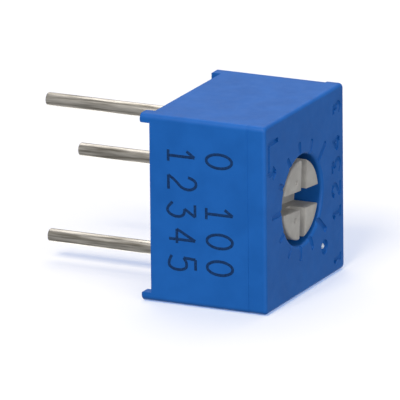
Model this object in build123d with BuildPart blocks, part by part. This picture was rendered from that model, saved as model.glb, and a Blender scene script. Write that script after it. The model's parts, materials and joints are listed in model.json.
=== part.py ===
from build123d import *

import os
from math import atan2, cos, degrees, hypot, radians, sin

# Trimmer potentiometer: a small moulded case, open underneath, with a rotor that a
# screwdriver turns from above. A fired resistive film on a ceramic plate closes the
# rotor's chamber, three round leads come down through it, and epoxy seals the back.
#
# Sizes are in millimetres. The origin is on the seating plane, at the middle of the
# case. +Z runs out of the adjustment face, the leads point down, the lead row runs
# along Y, and +X is the side that carries the lettering.

# Case
case_x = 6.60  # lettered side to the far side's lip
case_y = 6.90
case_z = 4.50  # rim of the walls to the adjustment face
wall = 0.30
corner_radius = 0.18
face_edge_radius = 0.16
lip_step = 0.13  # the far side steps in by this much below its lip
lip_z = 0.58

# Standoff feet at the four corners of the rim
foot_x = 0.48
foot_y = 0.33
foot_z = 0.40
far_foot_inset = 0.15
foot_root = 0.20  # how far a foot runs up into the wall

# Leads, on the standard grid
lead_pitch = 2.54
lead_radius = 0.24
lead_length = 5.25  # below the seating plane
lead_end_chamfer = 0.06
lead_taper = 0.04  # the lead narrows by this much from the epoxy up to its end
lead_hole_clearance = 0.02
solder_spread = 0.06
solder_rise = 0.17
lead_stub = 0.14  # lead standing out of the film, inside its solder

# Stack above the rim: epoxy, ceramic, contact space, rotor flange, roof
epoxy_recess = 0.10
epoxy_z = 0.60
ceramic_z = 0.60
ceramic_clearance = 0.02
film_z = 0.03
contact_space_z = 0.70  # ceramic to the underside of the rotor's flange
solder_recess_z = 0.35
solder_recess_clearance = 0.06

# Rotor and its bore
rotor_axis_x = 0.20
rest_turn = -5.0  # the pointer's angle from +X at rest, in degrees
travel = 140.0  # the pointer's travel each way from +X
bore_radius = 1.65
bore_chamfer = 0.10
head_gap = 0.20
head_recess = 0.05
head_edge_radius = 0.10
turn_clearance = 0.05  # radial and axial running clearance of the flange
disc_z = 0.22
hub_z = 0.33
hub_margin = 0.15  # hub beyond the bore, so that the roof holds the rotor in
stop_width = 0.48
stop_half_angle = 16.0
stop_spare_angle = 1.0
post_radius = 0.30
post_z = 0.16

# Screwdriver slots in the head
slot_width = 0.70
slot_depth = 0.95
cross_slot_width = 0.45
cross_slot_depth = 0.62
cross_slot_offset = 0.15
dimple_radius = 0.10
dimple_depth = 0.08
dimple_x = 0.45
dimple_y = 0.68

# Seal ring between the rotor's neck and the bore
seal_width = 0.57
seal_z = 0.60
seal_clearance = 0.03
seal_corner_radius = 0.20

# Contact spring
spring_z = 0.08
spring_width = 1.10
plate_reach = 1.20
finger_width = 0.24
finger_pitch = 0.33
finger_count = 3
contact_gap = 0.02

# Films on the ceramic, centred on the rotor's axis
track_radius = 1.95
track_width = 0.40
track_half_angle = 146.0
pad_gap = 0.10
pad_margin = 0.12  # conductor beyond the lead's middle, away from the rotor's axis
pad_end_half_angle = 7.0
collector_radius = 0.60
collector_tail_width = 0.50

# Marks sunk in the adjustment face
tick_count = 11
tick_width = 0.15
tick_depth = 0.10
tick_start = 0.09  # from the bore's edge
tick_length = 0.52
long_tick_length = 0.88
gate_radius = 0.30
gate_depth = 0.12
gate_x = -1.57
gate_y = 2.13

# Heights, from the seating plane up
rim_z = foot_z
epoxy_bottom = rim_z + epoxy_recess
ceramic_bottom = epoxy_bottom + epoxy_z
ceramic_top = ceramic_bottom + ceramic_z
film_top = ceramic_top + film_z
disc_bottom = ceramic_top + contact_space_z
hub_bottom = disc_bottom + disc_z
hub_top = hub_bottom + hub_z
chamber_roof = hub_top + turn_clearance
seal_bottom = chamber_roof + turn_clearance
head_bottom = seal_bottom + seal_z + turn_clearance
face_z = rim_z + case_z
head_top = face_z - head_recess

# Radii that follow from the bore
head_radius = bore_radius - head_gap
neck_radius = bore_radius - seal_clearance - seal_width
hub_radius = bore_radius + hub_margin
flange_radius = hub_radius + stop_width
chamber_radius = flange_radius + turn_clearance
lug_radius = hub_radius + turn_clearance
lug_half_angle = 180 - travel - stop_half_angle - stop_spare_angle

# Plan of the leads and what surrounds them
leads = {"1": (0, lead_pitch), "2": (-lead_pitch, 0), "3": (0, -lead_pitch)}
solder_radius = lead_radius + solder_spread
recess_radius = lead_pitch + solder_radius + solder_recess_clearance
cavity_x = case_x - lip_step - 2 * wall
cavity_y = case_y - 2 * wall
cavity_middle_x = lip_step / 2
lead_top = film_top + lead_stub
lead_end_radius = lead_radius - lead_taper
lead_from_axis = hypot(rotor_axis_x, lead_pitch)
lead_angle = degrees(atan2(lead_pitch, -rotor_axis_x))

os.makedirs("parts", exist_ok=True)


def axis_level(height, turn=0.0):
    """A horizontal plane on the rotor's axis, its x direction turned by an angle."""
    return Plane(
        origin=(rotor_axis_x, 0, height),
        x_dir=(cos(radians(turn)), sin(radians(turn)), 0),
        z_dir=(0, 0, 1),
    )


def ring_sector(inner, outer, middle, half_angle):
    """A face between two radii and two angles, in the sketch that calls it."""
    first, last = radians(middle - half_angle), radians(middle + half_angle)
    with BuildLine() as outline:
        CenterArc((0, 0), inner, middle - half_angle, 2 * half_angle)
        CenterArc((0, 0), outer, middle - half_angle, 2 * half_angle)
        for angle in (first, last):
            Line(
                (inner * cos(angle), inner * sin(angle)),
                (outer * cos(angle), outer * sin(angle)),
            )
    make_face(outline.edges())


# Housing: one moulding with walls, roof, bore, stop lug, feet and sunk marks
with BuildPart() as housing:
    with BuildSketch(Plane.XY.offset(rim_z)):
        with Locations((cavity_middle_x, 0)):
            RectangleRounded(case_x - lip_step, case_y, corner_radius)
    extrude(amount=case_z)
    with BuildSketch(Plane.XY.offset(face_z - lip_z)):
        RectangleRounded(case_x, case_y, corner_radius)
    extrude(amount=lip_z)
    fillet(housing.faces().sort_by(Axis.Z)[-1].edges(), face_edge_radius)

    # Standoff feet, flush with the sides on +X and set in on the far side
    near_foot_x = case_x / 2 - foot_x / 2
    far_foot_x = -case_x / 2 + lip_step + far_foot_inset + foot_x / 2
    foot_row_y = case_y / 2 - foot_y / 2
    with BuildSketch():
        for foot_middle_x in (near_foot_x, far_foot_x):
            with Locations((foot_middle_x, foot_row_y), (foot_middle_x, -foot_row_y)):
                Rectangle(foot_x, foot_y)
        with Locations((cavity_middle_x, 0)):
            RectangleRounded(
                case_x - lip_step, case_y, corner_radius, mode=Mode.INTERSECT
            )
    extrude(amount=foot_z + foot_root)

    # Cavity for the ceramic and epoxy, recess over the solder, chamber and bore
    with BuildSketch(Plane.XY.offset(rim_z)):
        with Locations((cavity_middle_x, 0)):
            Rectangle(cavity_x, cavity_y)
    extrude(amount=ceramic_top - rim_z, mode=Mode.SUBTRACT)
    with BuildSketch(Plane.XY.offset(ceramic_top)):
        Circle(recess_radius)
    extrude(amount=solder_recess_z, mode=Mode.SUBTRACT)
    with BuildSketch(axis_level(ceramic_top)):
        Circle(chamber_radius)
    extrude(amount=chamber_roof - ceramic_top, mode=Mode.SUBTRACT)
    with BuildSketch(axis_level(chamber_roof)):
        Circle(bore_radius)
    extrude(amount=face_z - chamber_roof, mode=Mode.SUBTRACT)
    bore_rim = housing.edges().filter_by(GeomType.CIRCLE).group_by(Axis.Z)[-1]
    chamfer(bore_rim.sort_by(SortBy.RADIUS)[-1], bore_chamfer)

    # Stop lug, opposite the lettered side, in the way of the rotor's stop
    with BuildSketch(axis_level(hub_bottom + turn_clearance)):
        ring_sector(lug_radius, chamber_radius, 180, lug_half_angle)
    extrude(amount=chamber_roof - hub_bottom - turn_clearance)

    # Scale ticks around the bore, the end and middle ones longer
    tick_step = 2 * travel / (tick_count - 1)
    with BuildSketch(axis_level(face_z)):
        for index in range(tick_count):
            is_long = index in (0, tick_count // 2, tick_count - 1)
            reach = long_tick_length if is_long else tick_length
            with PolarLocations(
                bore_radius + tick_start + reach / 2, 1, -travel + index * tick_step
            ):
                Rectangle(reach, tick_width)
    extrude(amount=-tick_depth, mode=Mode.SUBTRACT)

    # Round dimple left by the moulding gate
    with BuildSketch(Plane.XY.offset(face_z)):
        with Locations((gate_x, gate_y)):
            Circle(gate_radius)
    extrude(amount=-gate_depth, mode=Mode.SUBTRACT)
housing.part.label = "housing"
export_step(housing.part, "parts/housing.step")

# Rotor: disc, hub with its stop, neck, slotted head and the post that holds the spring
with BuildPart() as rotor:
    with BuildSketch(axis_level(disc_bottom)):
        Circle(flange_radius)
    extrude(amount=disc_z)
    with BuildSketch(axis_level(hub_bottom)):
        Circle(hub_radius)
    extrude(amount=hub_z)
    with BuildSketch(axis_level(hub_bottom, rest_turn)):
        ring_sector(hub_radius - stop_width / 2, flange_radius, 0, stop_half_angle)
    extrude(amount=hub_z)
    with BuildSketch(axis_level(hub_top)):
        Circle(neck_radius)
    extrude(amount=head_bottom - hub_top)
    with BuildSketch(axis_level(head_bottom)):
        Circle(head_radius)
    extrude(amount=head_top - head_bottom)
    fillet(rotor.faces().sort_by(Axis.Z)[-1].edges(), head_edge_radius)
    with BuildSketch(axis_level(disc_bottom)):
        Circle(post_radius)
    extrude(amount=-post_z)

    with BuildSketch(axis_level(head_top, rest_turn)):
        Rectangle(2 * bore_radius, slot_width)
    extrude(amount=-slot_depth, mode=Mode.SUBTRACT)
    with BuildSketch(axis_level(head_top, rest_turn)):
        with Locations((-cross_slot_offset, 0)):
            Rectangle(cross_slot_width, 2 * bore_radius)
    extrude(amount=-cross_slot_depth, mode=Mode.SUBTRACT)
    with BuildSketch(axis_level(head_top, rest_turn)):
        with Locations((dimple_x, dimple_y), (dimple_x, -dimple_y)):
            Circle(dimple_radius)
    extrude(amount=-dimple_depth, mode=Mode.SUBTRACT)
rotor.part.label = "rotor"
export_step(rotor.part, "parts/rotor.step")

# Seal ring, flattened where it is squeezed between the neck and the bore
with BuildPart() as rotor_seal:
    seal_plane = Plane(
        origin=(rotor_axis_x, 0, seal_bottom + seal_z / 2),
        x_dir=(1, 0, 0),
        z_dir=(0, -1, 0),
    )
    with BuildSketch(seal_plane):
        with Locations((neck_radius + seal_width / 2, 0)):
            RectangleRounded(seal_width, seal_z, seal_corner_radius)
    revolve(axis=Axis((rotor_axis_x, 0, 0), (0, 0, 1)))
rotor_seal.part.label = "rotor_seal"
export_step(rotor_seal.part, "parts/rotor_seal.step")

# Contact spring: a plate under the disc, three fingers out to the track and one
# folded back to the collector at the middle
plate_level = disc_bottom - spring_z / 2
tip_level = film_top + contact_gap + spring_z / 2
spring_plane = Plane(
    origin=(rotor_axis_x, 0, 0),
    x_dir=(cos(radians(rest_turn)), sin(radians(rest_turn)), 0),
    z_dir=(sin(radians(rest_turn)), -cos(radians(rest_turn)), 0),
)
with BuildPart() as wiper_spring:
    with BuildSketch(axis_level(disc_bottom - spring_z, rest_turn)):
        Rectangle(2 * plate_reach, spring_width)
        Circle(post_radius, mode=Mode.SUBTRACT)
    extrude(amount=spring_z)
    for finger in range(finger_count):
        side_step = (finger - (finger_count - 1) / 2) * finger_pitch
        with BuildSketch(spring_plane.offset(side_step)):
            with BuildLine():
                FilletPolyline(
                    (plate_reach - spring_z, plate_level),
                    (plate_reach + 2 * spring_z, plate_level),
                    (track_radius, tip_level),
                    (track_radius + spring_z, tip_level + 1.5 * spring_z),
                    radius=spring_z / 2,
                )
            trace(line_width=spring_z)
        extrude(amount=finger_width / 2, both=True)
    with BuildSketch(spring_plane):
        with BuildLine():
            FilletPolyline(
                (spring_z - plate_reach, plate_level),
                (-plate_reach - 3 * spring_z, plate_level),
                (-plate_reach - spring_z, plate_level - 3 * spring_z),
                (-spring_z, tip_level),
                (spring_z, tip_level + spring_z),
                radius=spring_z / 2,
            )
        trace(line_width=spring_z)
    extrude(amount=finger_width, both=True)
wiper_spring.part.label = "wiper_spring"
export_step(wiper_spring.part, "parts/wiper_spring.step")

# Ceramic plate that carries the films and closes the chamber
with BuildPart() as ceramic_substrate:
    with BuildSketch(Plane.XY.offset(ceramic_bottom)):
        with Locations((cavity_middle_x, 0)):
            Rectangle(cavity_x - 2 * ceramic_clearance, cavity_y - 2 * ceramic_clearance)
        with Locations(*leads.values()):
            Circle(lead_radius + lead_hole_clearance, mode=Mode.SUBTRACT)
    extrude(amount=ceramic_z)
ceramic_substrate.part.label = "ceramic_substrate"
export_step(ceramic_substrate.part, "parts/ceramic_substrate.step")

# Resistive track, an open ring whose gap faces the middle lead
with BuildPart() as resistive_track:
    with BuildSketch(axis_level(ceramic_top)):
        ring_sector(
            track_radius - track_width / 2,
            track_radius + track_width / 2,
            0,
            track_half_angle,
        )
    extrude(amount=film_z)
resistive_track.part.label = "resistive_track"
export_step(resistive_track.part, "parts/resistive_track.step")

# Conductor pads from the track's two ends round to the outer leads
for number, side in (("1", 1), ("3", -1)):
    lead_x, lead_y = leads[number]
    end_angle = track_half_angle + pad_end_half_angle
    pad_inner = track_radius + track_width / 2 + pad_gap
    pad_outer = lead_from_axis + pad_margin
    pad_first_angle = lead_angle - 2 * pad_end_half_angle
    pad_last_angle = end_angle + pad_end_half_angle
    pad_middle = side * (pad_first_angle + pad_last_angle) / 2
    with BuildPart() as end_pad:
        with BuildSketch(axis_level(ceramic_top)):
            ring_sector(
                pad_inner, pad_outer, pad_middle, (pad_last_angle - pad_first_angle) / 2
            )
            ring_sector(
                track_radius - track_width / 2,
                pad_outer,
                side * end_angle,
                pad_end_half_angle,
            )
            with Locations((lead_x - rotor_axis_x, lead_y)):
                Rectangle(2 * solder_radius, 2 * solder_radius)
                Circle(lead_radius + lead_hole_clearance, mode=Mode.SUBTRACT)
        extrude(amount=film_z)
    end_pad.part.label = f"end_pad_{number}"
    export_step(end_pad.part, f"parts/end_pad_{number}.step")

# Collector pad under the rotor's axis, with a tail to the middle lead
with BuildPart() as collector_pad:
    with BuildSketch(Plane.XY.offset(ceramic_top)):
        with Locations((rotor_axis_x, 0)):
            Circle(collector_radius)
        with Locations(((rotor_axis_x - lead_pitch) / 2, 0)):
            Rectangle(rotor_axis_x + lead_pitch, collector_tail_width)
        with Locations(leads["2"]):
            Rectangle(2 * solder_radius, 2 * solder_radius)
            Circle(lead_radius + lead_hole_clearance, mode=Mode.SUBTRACT)
    extrude(amount=film_z)
collector_pad.part.label = "collector_pad"
export_step(collector_pad.part, "parts/collector_pad.step")

# Leads, straight below the epoxy and tapered from there up, and the solder that joins
# each one to its film
lead_parts = []
for number, (lead_x, lead_y) in leads.items():
    upright = Plane(origin=(lead_x, lead_y, 0), x_dir=(1, 0, 0), z_dir=(0, -1, 0))
    lead_axis = Axis((lead_x, lead_y, 0), (0, 0, 1))
    with BuildPart() as lead:
        with BuildSketch(upright):
            with BuildLine():
                Polyline(
                    (0, -lead_length),
                    (lead_radius - lead_end_chamfer, -lead_length),
                    (lead_radius, lead_end_chamfer - lead_length),
                    (lead_radius, epoxy_bottom),
                    (lead_end_radius, lead_top),
                    (0, lead_top),
                    close=True,
                )
            make_face()
        revolve(axis=lead_axis)
    lead.part.label = f"pin_{number}"
    export_step(lead.part, f"parts/pin_{number}.step")
    lead_parts.append(lead.part)

    with BuildPart() as solder_joint:
        with BuildSketch(upright):
            with BuildLine():
                Polyline(
                    (0, film_top),
                    (solder_radius, film_top),
                    (lead_end_radius, film_top + solder_rise),
                    (0, film_top + solder_rise),
                    close=True,
                )
            make_face()
        revolve(axis=lead_axis)
        add(lead.part, mode=Mode.SUBTRACT)
    solder_joint.part.label = f"solder_joint_{number}"
    export_step(solder_joint.part, f"parts/solder_joint_{number}.step")

# Epoxy that fills the cavity behind the ceramic and grips the leads
with BuildPart() as epoxy_seal:
    with BuildSketch(Plane.XY.offset(epoxy_bottom)):
        with Locations((cavity_middle_x, 0)):
            Rectangle(cavity_x, cavity_y)
    extrude(amount=epoxy_z)
    add(lead_parts, mode=Mode.SUBTRACT)
epoxy_seal.part.label = "epoxy_seal"
export_step(epoxy_seal.part, "parts/epoxy_seal.step")
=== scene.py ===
# %% [markdown]
# # A trimmer potentiometer
#
# This lesson dresses a small adjustable resistor: a blue moulded case with a slotted
# rotor in its face, and three tinned leads behind. The frame holds every piece at its
# real size, with +Z out of the adjustment face and the leads pointing down -Z. The
# frame's meshes are coarse at this size, so the pieces that show are modelled again
# here, with rounded edges and sunk marks, in the very places that the frame gives.

# %% Load the frame
import json
import math

import bmesh
import bpy
from mathutils import Matrix, Vector


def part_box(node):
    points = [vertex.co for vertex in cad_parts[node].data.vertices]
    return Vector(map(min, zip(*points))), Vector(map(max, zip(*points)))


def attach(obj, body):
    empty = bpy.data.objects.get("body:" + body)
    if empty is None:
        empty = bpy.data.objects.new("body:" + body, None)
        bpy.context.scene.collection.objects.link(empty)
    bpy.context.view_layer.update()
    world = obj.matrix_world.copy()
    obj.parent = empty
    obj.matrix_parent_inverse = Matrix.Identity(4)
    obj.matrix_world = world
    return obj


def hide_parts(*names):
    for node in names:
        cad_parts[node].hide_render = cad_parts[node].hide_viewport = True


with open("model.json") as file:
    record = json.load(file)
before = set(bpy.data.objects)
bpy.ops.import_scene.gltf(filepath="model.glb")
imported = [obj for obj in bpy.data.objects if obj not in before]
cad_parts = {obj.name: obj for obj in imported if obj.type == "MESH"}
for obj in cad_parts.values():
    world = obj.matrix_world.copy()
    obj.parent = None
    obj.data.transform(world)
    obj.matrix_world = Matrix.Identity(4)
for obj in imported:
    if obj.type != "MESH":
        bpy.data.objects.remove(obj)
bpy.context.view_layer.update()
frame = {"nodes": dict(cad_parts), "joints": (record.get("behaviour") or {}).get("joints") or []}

MM = 0.001
print("nodes:", sorted(frame["nodes"]))

# %% [markdown]
# ## Sizes
#
# The case, the rotor and the leads take their places from the frame's boxes and from
# the joint, so nothing has to be fitted. What the boxes can't tell, such as the bore's
# radius or how far the lip stands out, is named here once, in metres.

# %% Places and sizes that every piece shares
case_low, case_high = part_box("housing")
rotor_low, rotor_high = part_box("rotor")
epoxy_low, epoxy_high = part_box("epoxy_seal")
ceramic_low, ceramic_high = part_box("ceramic_substrate")
face_z = case_high.z
rim_z = 0.40 * MM
axis_x, axis_y = frame["joints"][0]["pos_m"][:2]
rest_turn = math.radians(-5)
travel = math.radians(140)

corner_radius = 0.20 * MM
face_edge_radius = 0.14 * MM
lip_step = 0.13 * MM
lip_height = 0.58 * MM
bore_radius = 1.65 * MM
head_radius = 1.45 * MM
print("case in mm:", [round(v / MM, 2) for v in case_high - case_low])
print("rotor axis in mm:", round(axis_x / MM, 2), round(axis_y / MM, 2))

# %% [markdown]
# ## The camera
#
# The part lies on one side wall, with its leads to the left, so the picture's up is -Y.
# A long lens far away keeps edges nearly parallel, as small parts are usually shown.
# The lens looks at the lettered side from a little above, turned towards the
# adjustment face, and its three directions are worked out from those two angles.

# %% Put a long lens in front of the lettered side
view_turn = math.radians(25.9)
view_rise = math.radians(16.25)
view_roll = math.radians(-0.59)
camera_distance = 327 * MM
camera_aim = Vector((0.697, 0.312, 1.096)) * MM

forward = Vector((
    -math.cos(view_turn) * math.cos(view_rise),
    math.sin(view_rise),
    -math.sin(view_turn) * math.cos(view_rise),
))
right = Vector((-math.sin(view_turn), 0, math.cos(view_turn)))
up = right.cross(forward)

camera_data = bpy.data.cameras.new("camera")
camera_data.sensor_width = 36
camera_data.lens = 828
camera_data.clip_start = 10 * MM
camera_data.clip_end = 3
camera = bpy.data.objects.new("camera", camera_data)
bpy.context.scene.collection.objects.link(camera)
axes = Matrix((right, up, -forward)).transposed()
camera.matrix_world = (
    Matrix.Translation(camera_aim - forward * camera_distance)
    @ axes.to_4x4()
    @ Matrix.Rotation(view_roll, 4, "Z")
)
bpy.context.scene.camera = camera
print("camera in mm:", [round(v / MM, 1) for v in camera.matrix_world.translation])

# %% [markdown]
# ## Light
#
# Small glossy plastic wants big soft lamps, because each one shows as a pale sheen.
# The key stands in front and above, one broad lamp hangs overhead, one faces the
# adjustment face, and a weak one keeps the far side readable. A lamp's level says how
# bright it makes a white card that faces it, and the power follows from its distance.

# %% Hang the lamps and set a white surrounding
lamp_distance = 250 * MM


def add_lamp(name, direction, size, level):
    """A square soft lamp that shines on the part from a direction."""
    data = bpy.data.lights.new(name, "AREA")
    data.shape = "SQUARE"
    data.size = size
    data.energy = level * (math.pi * lamp_distance) ** 2
    lamp = bpy.data.objects.new(name, data)
    bpy.context.scene.collection.objects.link(lamp)
    towards = Vector(direction).normalized()
    lamp.location = camera_aim + towards * lamp_distance
    lamp.rotation_euler = towards.to_track_quat("Z", "Y").to_euler()
    print(name, "power", round(data.energy, 4))
    return lamp


add_lamp("key_lamp", (0.68, -0.73, 0.02), 90 * MM, 0.76)
add_lamp("overhead_lamp", (-0.60, -1.0, -0.20), 220 * MM, 0.52)
add_lamp("face_lamp", (0.60, -0.30, 1.0), 190 * MM, 0.50)
add_lamp("far_lamp", (-0.75, 0.65, -0.30), 190 * MM, 0.42)

world = bpy.data.worlds.new("studio")
bpy.context.scene.world = world
world.use_nodes = True
sky = world.node_tree
sky.nodes.clear()
sky_out = sky.nodes.new("ShaderNodeOutputWorld")
sky_mix = sky.nodes.new("ShaderNodeMixShader")
dim_sky = sky.nodes.new("ShaderNodeBackground")
dim_sky.inputs["Color"].default_value = (0.93, 0.96, 1.0, 1)
dim_sky.inputs["Strength"].default_value = 0.45
white_sky = sky.nodes.new("ShaderNodeBackground")
white_sky.inputs["Color"].default_value = (1, 1, 1, 1)
white_sky.inputs["Strength"].default_value = 1.0
path = sky.nodes.new("ShaderNodeLightPath")
seen = sky.nodes.new("ShaderNodeMath")
seen.operation = "MAXIMUM"
sky.links.new(path.outputs["Is Camera Ray"], seen.inputs[0])
sky.links.new(path.outputs["Is Transmission Ray"], seen.inputs[1])
sky.links.new(seen.outputs[0], sky_mix.inputs[0])
sky.links.new(dim_sky.outputs[0], sky_mix.inputs[1])
sky.links.new(white_sky.outputs[0], sky_mix.inputs[2])
sky.links.new(sky_mix.outputs[0], sky_out.inputs["Surface"])
bpy.context.scene.view_settings.view_transform = "Standard"

# %% [markdown]
# ## The floor
#
# The part lies on a white table: a plane just below the side wall that faces +Y. It
# is a table only to the lens that looks at its upper side, where it gathers the soft
# shadow. Every other ray goes through it, so the side that rests on it stays lit and
# can be looked at from behind.

# %% Lay the table under the part
floor_gap = 0.02 * MM
floor_half = 300 * MM
bpy.ops.mesh.primitive_plane_add(
    size=2 * floor_half,
    location=(0, case_high.y + floor_gap, 0),
    rotation=(math.radians(90), 0, 0),
)
floor = bpy.context.object
floor.name = "floor"

table = bpy.data.materials.new("table_white")
table.use_nodes = True
tree = table.node_tree
tree.nodes.clear()
out = tree.nodes.new("ShaderNodeOutputMaterial")
card = tree.nodes.new("ShaderNodeBsdfDiffuse")
card.inputs["Color"].default_value = (0.66, 0.56, 0.34, 1)
glow = tree.nodes.new("ShaderNodeEmission")
glow.inputs["Color"].default_value = (0.16, 0.28, 0.60, 1)
glow.inputs["Strength"].default_value = 1.0
lit = tree.nodes.new("ShaderNodeAddShader")
clear = tree.nodes.new("ShaderNodeBsdfTransparent")
pick = tree.nodes.new("ShaderNodeMixShader")
path = tree.nodes.new("ShaderNodeLightPath")
side = tree.nodes.new("ShaderNodeNewGeometry")
front = tree.nodes.new("ShaderNodeMath")
front.operation = "SUBTRACT"
front.use_clamp = True
tree.links.new(card.outputs[0], lit.inputs[0])
tree.links.new(glow.outputs[0], lit.inputs[1])
tree.links.new(path.outputs["Is Camera Ray"], front.inputs[0])
tree.links.new(side.outputs["Backfacing"], front.inputs[1])
tree.links.new(front.outputs[0], pick.inputs[0])
tree.links.new(clear.outputs[0], pick.inputs[1])
tree.links.new(lit.outputs[0], pick.inputs[2])
tree.links.new(pick.outputs[0], out.inputs["Surface"])
floor.data.materials.append(table)

# %% [markdown]
# ## Finishes
#
# Each finish is a Principled shader whose colour wanders between two close tones, with
# a noise that also stirs the roughness and a fine bump. The noise reads Object
# coordinates, and its scale is given as the size of one patch, because the part is
# only a few millimetres long and a plain scale of 5 would be the size of a house.

# %% Make the finishes


def finish(name, dark, light, patch, rough, metallic=0.0, stretch=(1, 1, 1), bump=0.1,
           bump_size=0.02 * MM, gloss=0.5):
    """A material whose tone and roughness wander over patches of a given size."""
    made = bpy.data.materials.new(name)
    made.use_nodes = True
    tree = made.node_tree
    shader = tree.nodes["Principled BSDF"]
    shader.inputs["Metallic"].default_value = metallic
    shader.inputs["Specular IOR Level"].default_value = gloss
    where = tree.nodes.new("ShaderNodeTexCoord")
    grain = tree.nodes.new("ShaderNodeMapping")
    grain.inputs["Scale"].default_value = stretch
    tree.links.new(where.outputs["Object"], grain.inputs["Vector"])

    def noise(size, detail):
        node = tree.nodes.new("ShaderNodeTexNoise")
        node.inputs["Scale"].default_value = 1 / size
        node.inputs["Detail"].default_value = detail
        tree.links.new(grain.outputs["Vector"], node.inputs["Vector"])
        return node

    patches = noise(patch, 4)
    tone = tree.nodes.new("ShaderNodeValToRGB")
    tone.color_ramp.elements[0].position = 0.35
    tone.color_ramp.elements[0].color = (*dark, 1)
    tone.color_ramp.elements[1].position = 0.65
    tone.color_ramp.elements[1].color = (*light, 1)
    tree.links.new(patches.outputs["Fac"], tone.inputs["Fac"])
    tree.links.new(tone.outputs["Color"], shader.inputs["Base Color"])

    polish = tree.nodes.new("ShaderNodeMapRange")
    polish.inputs["To Min"].default_value = rough[0]
    polish.inputs["To Max"].default_value = rough[1]
    tree.links.new(noise(patch / 3, 3).outputs["Fac"], polish.inputs["Value"])
    tree.links.new(polish.outputs["Result"], shader.inputs["Roughness"])

    relief = tree.nodes.new("ShaderNodeBump")
    relief.inputs["Strength"].default_value = bump
    relief.inputs["Distance"].default_value = 0.01 * MM
    tree.links.new(noise(bump_size, 2).outputs["Fac"], relief.inputs["Height"])
    tree.links.new(relief.outputs["Normal"], shader.inputs["Normal"])
    print("finish", name)
    return made


along_leads = (1, 1, 0.06)
case_blue = finish(
    "case_blue", (0.002, 0.082, 0.325), (0.004, 0.094, 0.362), 0.9 * MM, (0.46, 0.60),
    bump=0.25, bump_size=0.05 * MM, gloss=0.25,
)
rotor_grey = finish(
    "rotor_grey", (0.31, 0.295, 0.275), (0.37, 0.355, 0.33), 0.5 * MM, (0.5, 0.65),
    bump=0.3, bump_size=0.04 * MM,
)
# The tin's tone swings from dark to bright in long streaks along the leads: a painted reflection
# of the studio.
tin_painted_streaks = finish(
    "tin_painted_streaks", (0.24, 0.215, 0.175), (0.66, 0.61, 0.54), 0.09 * MM, (0.22, 0.42),
    metallic=1.0, stretch=along_leads, bump=0.8, bump_size=0.10 * MM,
)
etched_ink = finish(
    "etched_navy", (0.002, 0.016, 0.065), (0.005, 0.038, 0.130), 0.06 * MM, (0.5, 0.7),
    bump=0.5, bump_size=0.03 * MM, gloss=0.15,
)
torn_plastic = finish(
    "torn_plastic", (0.38, 0.48, 0.60), (0.70, 0.74, 0.78), 0.08 * MM, (0.6, 0.8),
    bump=0.6, bump_size=0.03 * MM,
)
epoxy_resin = finish(
    "epoxy_resin", (0.010, 0.022, 0.055), (0.020, 0.038, 0.085), 0.8 * MM, (0.12, 0.3),
    bump=0.3, bump_size=0.25 * MM,
)

# %% [markdown]
# ## Two helpers for hand modelling
#
# Blender's operators act on what is selected, and a new primitive is selected all
# over. So a piece is opened for shaping with nothing selected, and faces or edges are
# then picked by a test on their place or direction, as one would click them.

# %% Open a piece and pick its faces or edges
tiny = 1e-6


def open_piece(piece):
    """Puts one piece in edit mode with nothing selected."""
    bpy.ops.object.select_all(action="DESELECT")
    piece.select_set(True)
    bpy.context.view_layer.objects.active = piece
    bpy.ops.object.mode_set(mode="EDIT")
    bpy.ops.mesh.select_all(action="DESELECT")


def close_piece():
    """Leaves edit mode."""
    bpy.ops.object.mode_set(mode="OBJECT")


def pick_faces(piece, wanted):
    """Selects the faces that pass a test, and nothing else."""
    bpy.ops.mesh.select_mode(type="FACE")
    shape = bmesh.from_edit_mesh(piece.data)
    shape.normal_update()
    for face in shape.faces:
        face.select_set(wanted(face))
    bmesh.update_edit_mesh(piece.data)
    return sum(face.select for face in shape.faces)


def pick_edges(piece, wanted):
    """Selects the edges that pass a test, and nothing else."""
    bpy.ops.mesh.select_mode(type="EDGE")
    shape = bmesh.from_edit_mesh(piece.data)
    for edge in shape.edges:
        edge.select_set(wanted(*(corner.co for corner in edge.verts)))
    bmesh.update_edit_mesh(piece.data)
    return sum(edge.select for edge in shape.edges)


def add_block(name, low, high):
    """A box between two corners, with its place in its mesh."""
    low, high = Vector(low), Vector(high)
    bpy.ops.object.select_all(action="DESELECT")
    bpy.ops.mesh.primitive_cube_add(size=1, location=(low + high) / 2, scale=high - low)
    bpy.ops.object.transform_apply(location=True, rotation=True, scale=True)
    block = bpy.context.object
    block.name = name
    return block


# %% [markdown]
# ## The case, from one block
#
# The real case is one moulding. Here it starts as a block as high as the walls up to
# the mould's parting line. Its four upright edges are rounded first, so that every
# later extrusion carries the rounding along. Small steps in the outline are made by
# extruding the top face in place, sliding one side of it, and merging the corners
# that didn't move.

# %% Raise the walls, the witness step and the lip
witness_height = 0.68 * MM
witness_step = 0.012 * MM
inner_far_x = case_low.x + lip_step

case = add_block(
    "case_shell",
    (inner_far_x, case_low.y, rim_z),
    (case_high.x, case_high.y, face_z - witness_height),
)
open_piece(case)
pick_edges(case, lambda a, b: abs(a.x - b.x) < tiny and abs(a.y - b.y) < tiny)
bpy.ops.mesh.bevel(offset=corner_radius, segments=8, profile=0.5, affect="EDGES")


def is_top(face):
    """Whether a face is the large flat top, and not a narrow ledge beside it."""
    return face.normal.z > 0.9 and face.calc_area() > (3 * MM) ** 2


def raise_top(height):
    """Extrudes the case's flat top upwards."""
    pick_faces(case, is_top)
    bpy.ops.mesh.extrude_region_move(TRANSFORM_OT_translate={"value": (0, 0, height)})


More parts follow.
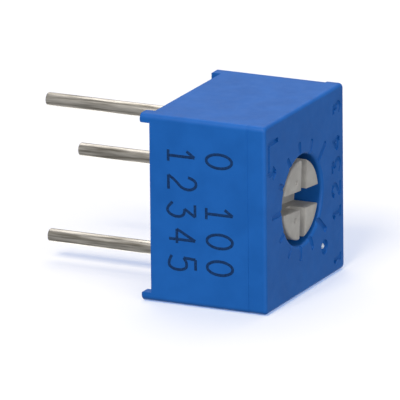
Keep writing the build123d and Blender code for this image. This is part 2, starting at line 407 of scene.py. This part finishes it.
def slide_top_side(wanted, move):
    """Makes a ledge: one side of a new top outline is slid, the rest is merged back."""
    raise_top(0)
    shape = bmesh.from_edit_mesh(case.data)
    chosen = [corner for corner in shape.verts if corner.select and wanted(corner.co)]
    for corner in shape.verts:
        corner.select_set(False)
    bpy.ops.mesh.select_mode(type="VERT")
    for corner in chosen:
        corner.select_set(True)
    bmesh.update_edit_mesh(case.data)
    bpy.ops.transform.translate(value=(move, 0, 0))
    bpy.ops.mesh.select_all(action="SELECT")
    bpy.ops.mesh.remove_doubles(threshold=tiny)
    print("ledge of", round(abs(move) / MM, 3), "mm from", len(chosen), "corners")


slide_top_side(lambda co: co.x > case_high.x - corner_radius + tiny, -witness_step)
raise_top(witness_height - lip_height)
slide_top_side(lambda co: co.x < inner_far_x + corner_radius - tiny, -lip_step)
raise_top(lip_height - face_edge_radius)

# %% [markdown]
# ## Feet and rounded edges
#
# Four small feet keep the case off the board. The bottom face is cut along the feet's
# outlines with bisect, the four foot faces are extruded down, and so their outer sides
# stay flush with the walls, and their tips are rounded. The edge around the
# adjustment face is rounded by insets: each one steps in and up along a quarter circle.

# %% Draw out the feet, then round the edges
foot_x = 0.48 * MM
foot_y = 0.33 * MM
far_foot_inset = 0.15 * MM
foot_tip_radius = 0.07 * MM
near_foot_x = case_high.x - foot_x
far_foot_low_x = inner_far_x + far_foot_inset
far_foot_high_x = far_foot_low_x + foot_x
foot_inner_y = case_high.y - foot_y

cuts = [((x, 0, 0), (1, 0, 0)) for x in (near_foot_x, far_foot_low_x, far_foot_high_x)]
cuts += [((0, y, 0), (0, 1, 0)) for y in (foot_inner_y, -foot_inner_y)]
for place, direction in cuts:
    pick_faces(case, lambda f: f.normal.z < -0.9 and f.calc_center_median().z < rim_z + tiny)
    bpy.ops.mesh.bisect(plane_co=place, plane_no=direction, threshold=tiny)


def is_foot(face):
    """Whether a bottom face lies inside one of the four feet's outlines."""
    place = face.calc_center_median()
    near = place.x > near_foot_x
    far = far_foot_low_x < place.x < far_foot_high_x
    at_rim = face.normal.z < -0.9 and place.z < rim_z + tiny
    return at_rim and abs(place.y) > foot_inner_y and (near or far)


print("foot faces:", pick_faces(case, is_foot))
bpy.ops.mesh.extrude_region_move(TRANSFORM_OT_translate={"value": (0, 0, -rim_z)})
foot_edges = pick_edges(case, lambda a, b: max(a.z, b.z) < tiny)
bpy.ops.mesh.bevel(offset=foot_tip_radius, segments=4, profile=0.5, affect="EDGES")
arc_steps = 6
pick_faces(case, is_top)
for step in range(arc_steps):
    now, then = (math.pi / 2 * (step + k) / arc_steps for k in (0, 1))
    bpy.ops.mesh.inset(
        thickness=face_edge_radius * (math.cos(now) - math.cos(then)),
        depth=face_edge_radius * (math.sin(then) - math.sin(now)),
    )
close_piece()
print("foot edges", foot_edges, "case top", round(max(v.co.z for v in case.data.vertices) / MM, 3))

# %% [markdown]
# ## Round shapes, raised step by step
#
# Everything turned has one helper. It starts from a filled circle and raises it
# through a list of (radius, height) steps: each step extrudes the end face and resizes
# it about the axis. A step with no height is a flat shoulder, and arcs are just many
# small steps. The same helper makes the rotor, the leads and the cutters for the bore.

# %% The turning helper


def turned(name, steps, place=(0, 0), segments=96):
    """A closed round solid through (radius, height) steps, upwards from the first."""
    radius, height = steps[0]
    bpy.ops.object.select_all(action="DESELECT")
    bpy.ops.mesh.primitive_circle_add(
        vertices=segments, radius=radius, fill_type="NGON", location=(*place, height)
    )
    bpy.ops.object.transform_apply(location=True, rotation=True, scale=True)
    piece = bpy.context.object
    piece.name = name
    bpy.ops.object.mode_set(mode="EDIT")
    bpy.ops.mesh.select_all(action="SELECT")
    for next_radius, next_height in steps[1:]:
        bpy.ops.mesh.extrude_region_move(
            TRANSFORM_OT_translate={"value": (0, 0, next_height - height)}
        )
        bpy.ops.transform.resize(
            value=(next_radius / radius, next_radius / radius, 1),
            center_override=(*place, next_height),
        )
        radius, height = next_radius, next_height
    bpy.ops.mesh.select_all(action="SELECT")
    bpy.ops.mesh.normals_make_consistent(inside=False)
    close_piece()
    return piece


def rescale(pieces, share):
    """Makes pieces larger or smaller about the origin, in their meshes."""
    bpy.ops.object.select_all(action="DESELECT")
    for piece in pieces:
        piece.select_set(True)
        piece.scale = (share, share, share)
    bpy.context.view_layer.objects.active = pieces[0]
    bpy.ops.object.transform_apply(location=True, rotation=True, scale=True)


def carve(piece, cutter):
    """Takes a cutter's shape out of a piece, a thousand times enlarged for exactness."""
    rescale([piece, cutter], 1 / MM)
    cut = piece.modifiers.new("carve", "BOOLEAN")
    cut.operation = "DIFFERENCE"
    cut.solver = "EXACT"
    cut.object = cutter
    bpy.ops.object.modifier_apply(modifier=cut.name)
    bpy.data.objects.remove(cutter)
    rescale([piece], MM)
    print(piece.name, "has", len(piece.data.polygons), "faces")


# %% [markdown]
# ## Hollowing the case
#
# From behind, the case is open: a square cavity for the ceramic plate and the epoxy,
# then a round chamber for the rotor's flange. From the front comes the bore, whose
# mouth flares out softly. Cutters overlap each other a little, so that no two
# surfaces ever lie exactly on each other where the solver would have to guess.

# %% Cut the cavity, the chamber and the bore
wall = 0.30 * MM
overlap = 0.05 * MM
chamber_radius = 2.33 * MM
recess_radius = 2.80 * MM
recess_height = 0.35 * MM
flange_top = rotor_low.z + (0.16 + 0.22 + 0.33) * MM
chamber_roof = flange_top + 0.05 * MM
mouth_flare = 0.14 * MM
mouth_top = face_z + 0.003 * MM

cavity = add_block(
    "cavity",
    (inner_far_x + wall, case_low.y + wall, -overlap),
    (case_high.x - wall, case_high.y - wall, ceramic_high.z),
)
carve(case, cavity)
recess_low = ceramic_high.z - overlap
recess = turned("recess", [
    (recess_radius, recess_low),
    (recess_radius, ceramic_high.z + recess_height),
])
carve(case, recess)
bore_steps = [
    (chamber_radius, recess_low),
    (chamber_radius, chamber_roof),
    (bore_radius, chamber_roof),
]
for step in range(arc_steps + 1):
    angle = math.pi / 2 * step / arc_steps
    bore_steps.append((
        bore_radius + mouth_flare * (1 - math.cos(angle)),
        mouth_top - mouth_flare * (1 - math.sin(angle)),
    ))
bore_steps.append((bore_radius + mouth_flare, face_z + overlap))
carve(case, turned("bore", bore_steps, (axis_x, axis_y)))

# %% [markdown]
# ## The scale around the bore
#
# Eleven short grooves fan out from the bore, the end ones and the middle one longer.
# Each is the print of a rod with rounded ends, laid on the face with its axis just
# above it, so the groove is soft and shallow. Each rod is modelled on its own and
# turned about the rotor's axis, and the rods are cut with the other marks, one after another.

# %% Lay the rods for the grooves
tick_count = 11
groove_radius = 0.115 * MM
groove_lift = 0.01 * MM
tick_inner = bore_radius - 0.02 * MM
tick_length = 0.58 * MM
long_tick_length = 0.93 * MM


def add_rod(length):
    """A rod with rounded ends, from the bore outwards along +X, in the face."""
    bpy.ops.object.select_all(action="DESELECT")
    bpy.ops.mesh.primitive_cylinder_add(
        vertices=20,
        radius=groove_radius,
        depth=length,
        location=(axis_x + tick_inner + length / 2, axis_y, face_z + groove_lift),
        rotation=(0, math.pi / 2, 0),
    )
    bpy.ops.object.transform_apply(location=True, rotation=True, scale=True)
    rod = bpy.context.object
    open_piece(rod)
    pick_edges(rod, lambda a, b: abs(a.x - b.x) < tiny)
    bpy.ops.mesh.bevel(offset=0.8 * groove_radius, segments=4, affect="EDGES")
    close_piece()
    return rod


cutters = []
for index in range(tick_count):
    is_long = index in (0, tick_count // 2, tick_count - 1)
    rod = add_rod(long_tick_length if is_long else tick_length)
    turn = -travel + index * 2 * travel / (tick_count - 1)
    open_piece(rod)
    bpy.ops.mesh.select_all(action="SELECT")
    bpy.ops.transform.rotate(
        value=-turn, orient_axis="Z", center_override=(axis_x, axis_y, face_z)
    )
    close_piece()
    cutters.append(rod)
print("rods:", len(cutters))

# %% [markdown]
# ## Plain numbers, drawn with one stroke width
#
# Both the sunk numbers on the face and the etched ones on the wall have an even
# stroke, as if drawn with a round tip. So each digit is a few points of a smooth
# curve in a box one wide and one high, and the curve gets a round section. On the
# face the strokes are cutters. On the wall they become a thin dark film.

# %% Draw digits as round strokes
ROUND_STEPS = 12
ring_points = [
    (0.5 + 0.5 * math.cos(2 * math.pi * k / ROUND_STEPS),
     0.5 + 0.5 * math.sin(2 * math.pi * k / ROUND_STEPS))
    for k in range(ROUND_STEPS)
]
DIGITS = {
    "0": [(True, ring_points)],
    "1": [(False, [(0.1, 0.7), (0.5, 1.0)]), (False, [(0.5, 1.0), (0.5, 0.0)]),
          (False, [(0.1, 0.0), (0.9, 0.0)])],
    "2": [(False, [(0.05, 0.75), (0.15, 1.0), (0.6, 1.08), (0.95, 0.85), (0.85, 0.5),
                   (0.3, 0.25), (0.0, 0.0)]), (False, [(0.0, 0.0), (1.0, 0.0)])],
    "3": [(False, [(0.05, 1.0), (0.9, 1.0)]), (False, [(0.9, 1.0), (0.4, 0.6)]),
          (False, [(0.4, 0.6), (0.8, 0.62), (1.05, 0.35), (0.85, 0.0), (0.4, -0.08),
                   (0.0, 0.15)])],
    "4": [(False, [(0.72, 0.0), (0.72, 1.0)]), (False, [(0.72, 1.0), (0.0, 0.3)]),
          (False, [(0.0, 0.3), (1.0, 0.3)])],
    "5": [(False, [(0.9, 1.0), (0.15, 1.0)]), (False, [(0.15, 1.0), (0.1, 0.55)]),
          (False, [(0.1, 0.55), (0.5, 0.7), (0.95, 0.6), (1.0, 0.15), (0.6, -0.08),
                   (0.0, 0.1)])],
}


def add_stroke(points, closed, radius):
    """One smooth round stroke through points in space, as a closed mesh."""
    line = bpy.data.curves.new("stroke", "CURVE")
    line.dimensions = "3D"
    line.bevel_depth = radius
    line.bevel_resolution = 3
    line.use_fill_caps = True
    spline = line.splines.new("NURBS" if len(points) > 2 else "POLY")
    spline.points.add(len(points) - 1)
    for knot, point in zip(spline.points, points):
        knot.co = (*point, 1)
    spline.order_u = 3
    spline.use_cyclic_u = closed
    spline.use_endpoint_u = not closed
    spline.resolution_u = 6
    stroke = bpy.data.objects.new("stroke", line)
    bpy.context.scene.collection.objects.link(stroke)
    bpy.ops.object.select_all(action="DESELECT")
    stroke.select_set(True)
    bpy.context.view_layer.objects.active = stroke
    bpy.ops.object.convert(target="MESH")
    return bpy.context.object


def write_digit(digit, place, across, upwards, radius):
    """A digit's strokes: place is its lower left corner, across and upwards its box."""
    strokes = []
    for closed, points in DIGITS[digit]:
        spots = [place + across * u + upwards * v for u, v in points]
        strokes.append(add_stroke(spots, closed, radius))
    return strokes


face_stroke = 0.085 * MM
arrow_stroke = 0.095 * MM
stroke_level = face_z + 0.01 * MM
small_high, small_wide = 0.52 * MM, 0.38 * MM
tall_high, tall_wide = 0.62 * MM, 0.50 * MM
column_x = -2.92 * MM
face_digits = [
    ("1", 3.10 * MM, small_wide, small_high),
    ("3", -2.46 * MM, small_wide, small_high),
]
for spot, digit in enumerate("1234"):
    face_digits.append((digit, (1.45 - 0.86 * spot) * MM, tall_wide, tall_high))
for digit, start_y, wide, high in face_digits:
    cutters += write_digit(
        digit,
        Vector((column_x, start_y, stroke_level)),
        Vector((0, -wide, 0)),
        Vector((high, 0, 0)),
        face_stroke,
    )

# %% [markdown]
# ## The turning arrow and the gate mark
#
# A bent arrow near the lettered corner shows the clockwise way. Its shaft is three
# straight strokes and its head two short ones. Across the face, the mould's gate has left a round
# dimple with a torn stub in it. All these cutters leave the face one after another.

# %% Cut the marks into the face
arrow_corners = [(2.20, -2.75), (2.98, -2.75), (2.98, -1.62), (2.42, -1.62)]
arrow_points = [Vector((x * MM, y * MM, stroke_level)) for x, y in arrow_corners]
for start, end in zip(arrow_points, arrow_points[1:]):
    cutters.append(add_stroke([start, end], False, arrow_stroke))
tip = arrow_points[-1]
for barb in ((0.24, 0.21, 0), (0.24, -0.21, 0)):
    cutters.append(add_stroke([tip, tip + Vector(barb) * MM], False, arrow_stroke))

gate_place = Vector((-1.60, 2.22, face_z / MM)) * MM
gate_radius = 0.28 * MM
gate_depth = 0.12 * MM
cutters.append(turned("gate", [
    (0.7 * gate_radius, face_z - gate_depth),
    (0.92 * gate_radius, face_z - 0.7 * gate_depth),
    (gate_radius, mouth_top),
    (gate_radius, face_z + overlap),
], (gate_place.x, gate_place.y), segments=32))
for cutter in cutters:
    carve(case, cutter)

# %% [markdown]
# ## Shading the case
#
# The case mixes large flat faces with small roundings. Smooth shading is kept to
# edges under 35 degrees, and weighted normals let the big faces stay truly flat, so
# that the roundings catch the light as thin bright lines.

# %% Smooth the case and give it its blue


def smooth(piece, degrees=35):
    """Smooth shading up to an angle, with large faces kept flat."""
    bpy.ops.object.select_all(action="DESELECT")
    piece.select_set(True)
    bpy.context.view_layer.objects.active = piece
    bpy.ops.object.shade_smooth_by_angle(angle=math.radians(degrees))
    weigh = piece.modifiers.new("weigh", "WEIGHTED_NORMAL")
    weigh.keep_sharp = True
    bpy.ops.object.modifier_apply(modifier=weigh.name)


def put_on(piece, material, body, slot, *nodes):
    """Gives a finished piece its material and its body, and hides the nodes it stands for; the
    slot is not used.
    """
    piece.data.materials.clear()
    piece.data.materials.append(material)
    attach(piece, body)
    if nodes:
        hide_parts(*nodes)
    print(piece.name, "rides on", body, "with", len(piece.data.polygons), "faces")


smooth(case)
put_on(case, case_blue, "case", "case_plastic", "housing")

# %% [markdown]
# ## The torn stub in the gate mark
#
# Where the runner was broken off, a pale crumb of plastic stands in the dimple. A
# small icosphere, pulled about by a fixed rule, is irregular enough.

# %% Leave a stub in the dimple
bpy.ops.object.select_all(action="DESELECT")
bpy.ops.mesh.primitive_ico_sphere_add(
    subdivisions=3,
    radius=0.11 * MM,
    location=(gate_place.x + 0.05 * MM, gate_place.y - 0.04 * MM, face_z - 0.12 * MM),
)
bpy.ops.object.transform_apply(location=True, rotation=True, scale=True)
stub = bpy.context.object
stub.name = "gate_stub"
for corner in stub.data.vertices:
    wave = math.sin(corner.co.x / (0.021 * MM)) * math.cos(corner.co.y / (0.017 * MM))
    corner.co.z += 0.018 * MM * wave
smooth(stub, 60)
put_on(stub, torn_plastic, "case", "case_plastic")

# %% [markdown]
# ## The etched numbers on the wall
#
# The wall's markings are burnt in: thin dark strokes with hardly any depth. The same
# digits are drawn on the wall, joined, and pressed nearly flat, half in and half out
# of the surface, which gives crisp strokes with a faint raised sheen of their own.

# %% Etch two rows of numbers
wall_x = case_high.x
digit_high = 1.03 * MM
digit_wide = 0.52 * MM
digit_pitch = 0.98 * MM
wall_stroke = 0.056 * MM
film_share = 0.10
rows = [("0 100", 2.60 * MM, -2.28 * MM), ("12345", 1.13 * MM, -2.30 * MM)]
strokes = []
for text, base_z, start_y in rows:
    for spot, digit in enumerate(text):
        if digit != " ":
            strokes += write_digit(
                digit,
                Vector((wall_x, start_y + spot * digit_pitch, base_z)),
                Vector((0, digit_wide, 0)),
                Vector((0, 0, digit_high)),
                wall_stroke,
            )
bpy.ops.object.select_all(action="DESELECT")
for stroke in strokes:
    stroke.select_set(True)
bpy.context.view_layer.objects.active = strokes[0]
bpy.ops.object.join()
etching = bpy.context.object
etching.name = "etched_numbers"
open_piece(etching)
bpy.ops.mesh.select_all(action="SELECT")
bpy.ops.transform.resize(value=(film_share, 1, 1), center_override=(wall_x, 0, 0))
close_piece()
smooth(etching, 60)
put_on(etching, etched_ink, "case", "case_plastic")

# %% [markdown]
# ## The rotor
#
# The rotor is one turned shape: flange, hub, neck and head. A wide, deep slot for the
# screwdriver crosses a narrower, shallower one, and two small dimples mark the side
# that points along the scale. After the cuts, a narrow bevel breaks every sharp edge,
# because a moulded edge is never razor sharp and the bright line shows its shape.

# %% Turn the rotor and cut its slots
post_radius, disc_bottom = 0.30 * MM, rotor_low.z + 0.16 * MM
hub_bottom = disc_bottom + 0.22 * MM
hub_radius, flange_radius = 1.80 * MM, 2.28 * MM
neck_radius = 1.10 * MM
head_bottom = chamber_roof + (0.05 + 0.60 + 0.05) * MM
head_top = rotor_high.z
head_edge = 0.09 * MM
rotor_steps = [
    (post_radius, rotor_low.z), (post_radius, disc_bottom),
    (flange_radius, disc_bottom), (flange_radius, hub_bottom),
    (hub_radius, hub_bottom), (hub_radius, flange_top),
    (neck_radius, flange_top), (neck_radius, head_bottom),
    (head_radius, head_bottom),
]
for step in range(arc_steps + 1):
    angle = math.pi / 2 * step / arc_steps
    rotor_steps.append((
        head_radius - head_edge * (1 - math.cos(angle)),
        head_top - head_edge * (1 - math.sin(angle)),
    ))
rotor = turned("slotted_rotor", rotor_steps, (axis_x, axis_y), segments=128)

slot_half = 0.35 * MM
slot_depth = 0.95 * MM
cross_half = 0.225 * MM
cross_depth = 0.62 * MM
cross_offset = 0.15 * MM
reach = bore_radius
slot_boxes = [
    ((-reach, -slot_half, -slot_depth), (reach, slot_half, overlap)),
    ((-cross_offset - cross_half, -reach, -cross_depth),
     (cross_half - cross_offset, reach, overlap)),
]
head_place = Vector((axis_x, axis_y, head_top))
for low, high in slot_boxes:
    carve(rotor, add_block("slot", head_place + Vector(low), head_place + Vector(high)))
dimple_radius = 0.11 * MM
for side in (-1, 1):
    place = (axis_x + 0.45 * MM, axis_y + side * 0.68 * MM)
    dimple = turned("dimple", [
        (0.6 * dimple_radius, head_top - 0.09 * MM),
        (dimple_radius, head_top),
        (dimple_radius, head_top + overlap),
    ], place, segments=24)
    carve(rotor, dimple)

bpy.ops.object.select_all(action="DESELECT")
rotor.select_set(True)
bpy.context.view_layer.objects.active = rotor
soften = rotor.modifiers.new("soften", "BEVEL")
soften.width = 0.025 * MM
soften.segments = 2
soften.limit_method = "ANGLE"
soften.angle_limit = math.radians(50)
bpy.ops.object.modifier_apply(modifier=soften.name)
open_piece(rotor)
bpy.ops.mesh.select_all(action="SELECT")
bpy.ops.transform.rotate(
    value=-rest_turn, orient_axis="Z", center_override=(axis_x, axis_y, head_top)
)
close_piece()
smooth(rotor)
put_on(rotor, rotor_grey, "rotor", "rotor_plastic", "rotor")

# %% [markdown]
# ## The leads
#
# The leads are drawn copper wire with a bright tin coat, cut square with a slightly
# rounded end. Each one is turned in its own place.
# The streaks along the wire are painted reflection: the finish's noise, stretched along Z, swings
# the tin's tone between dark and bright bands.

# %% Turn the three leads
lead_radius = 0.24 * MM
lead_end_round = 0.05 * MM
for number in (1, 2, 3):
    node = f"pin_{number}"
    low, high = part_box(node)
    steps = []
    for step in range(arc_steps + 1):
        angle = math.pi / 2 * step / arc_steps
        steps.append((
            lead_radius - lead_end_round * (1 - math.sin(angle)),
            low.z + lead_end_round * (1 - math.cos(angle)),
        ))
    steps += [(lead_radius, epoxy_low.z), (lead_radius - 0.04 * MM, high.z)]
    middle = (low + high) / 2
    lead = turned(f"lead_{number}", steps, (middle.x, middle.y), segments=64)
    smooth(lead, 40)
    put_on(lead, tin_painted_streaks, "case", "lead_metal", node)

# %% [markdown]
# ## The epoxy behind
#
# Liquid resin climbs a little where it meets walls and wires before it sets. A fine
# grid as large as the cavity is extruded up to the ceramic, and its lower surface is
# then pulled down near the walls and the leads by a smooth rule.

# %% Pour the epoxy
bpy.ops.object.select_all(action="DESELECT")
bpy.ops.mesh.primitive_grid_add(
    x_subdivisions=72,
    y_subdivisions=76,
    size=1,
    location=(*((epoxy_low + epoxy_high) / 2).xy, epoxy_low.z),
)
epoxy = bpy.context.object
epoxy.name = "epoxy_fill"
epoxy.scale = (epoxy_high.x - epoxy_low.x, epoxy_high.y - epoxy_low.y, 1)
bpy.ops.object.transform_apply(location=True, rotation=True, scale=True)
open_piece(epoxy)
bpy.ops.mesh.select_all(action="SELECT")
bpy.ops.mesh.extrude_region_move(
    TRANSFORM_OT_translate={"value": (0, 0, epoxy_high.z - epoxy_low.z)}
)
bpy.ops.mesh.select_all(action="SELECT")
bpy.ops.mesh.normals_make_consistent(inside=False)
close_piece()
lead_places = [(sum(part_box(f"pin_{n}"), Vector()) / 2).xy for n in (1, 2, 3)]
climb = 0.08 * MM
for corner in epoxy.data.vertices:
    if corner.co.z < epoxy_low.z + tiny:
        to_wall = min(
            corner.co.x - epoxy_low.x, epoxy_high.x - corner.co.x,
            corner.co.y - epoxy_low.y, epoxy_high.y - corner.co.y,
        )
        to_lead = min((corner.co.xy - place).length for place in lead_places)
        rise = math.exp(-to_wall / (0.20 * MM))
        rise += math.exp(-max(to_lead - lead_radius, 0) / (0.12 * MM))
        corner.co.z -= climb * min(rise, 1) - 0.03 * MM
smooth(epoxy, 60)
put_on(epoxy, epoxy_resin, "case", "epoxy", "epoxy_seal")

# %% [markdown]
# ## The pieces inside
#
# The ceramic, its films, the solder, the contact spring and the seal ring are shut in
# and keep the frame's own shapes. They still get real finishes, since a later scene
# may cut the part open. An assignment to the material slot is all that is needed.

# %% Give the inner pieces their finishes
inner = {
    "ceramic_substrate": finish(
        "fired_ceramic", (0.74, 0.72, 0.67), (0.83, 0.81, 0.77), 0.3 * MM, (0.55, 0.7)),
    "resistive_track": finish(
        "resistive_film", (0.010, 0.009, 0.009), (0.03, 0.027, 0.025), 0.1 * MM, (0.3, 0.5)),
    "wiper_spring": finish(
        "spring_bronze", (0.62, 0.44, 0.20), (0.78, 0.60, 0.33), 0.2 * MM, (0.2, 0.35),
        metallic=1.0),
    "rotor_seal": finish(
        "seal_rubber", (0.012, 0.012, 0.013), (0.03, 0.03, 0.032), 0.2 * MM, (0.5, 0.7)),
}
conductor = finish(
    "conductor_film", (0.52, 0.50, 0.46), (0.68, 0.66, 0.62), 0.1 * MM, (0.3, 0.45),
    metallic=1.0)
solder = finish(
    "solder_grey", (0.50, 0.50, 0.50), (0.66, 0.66, 0.66), 0.1 * MM, (0.2, 0.35),
    metallic=1.0)
for node in ("end_pad_1", "end_pad_3", "collector_pad"):
    inner[node] = conductor
for number in (1, 2, 3):
    inner[f"solder_joint_{number}"] = solder
for node, material in inner.items():
    mesh = frame["nodes"][node].data
    mesh.materials.clear()
    mesh.materials.append(material)
print("inner pieces finished:", len(inner))

# %% Update the scene and finish
bpy.context.view_layer.update()
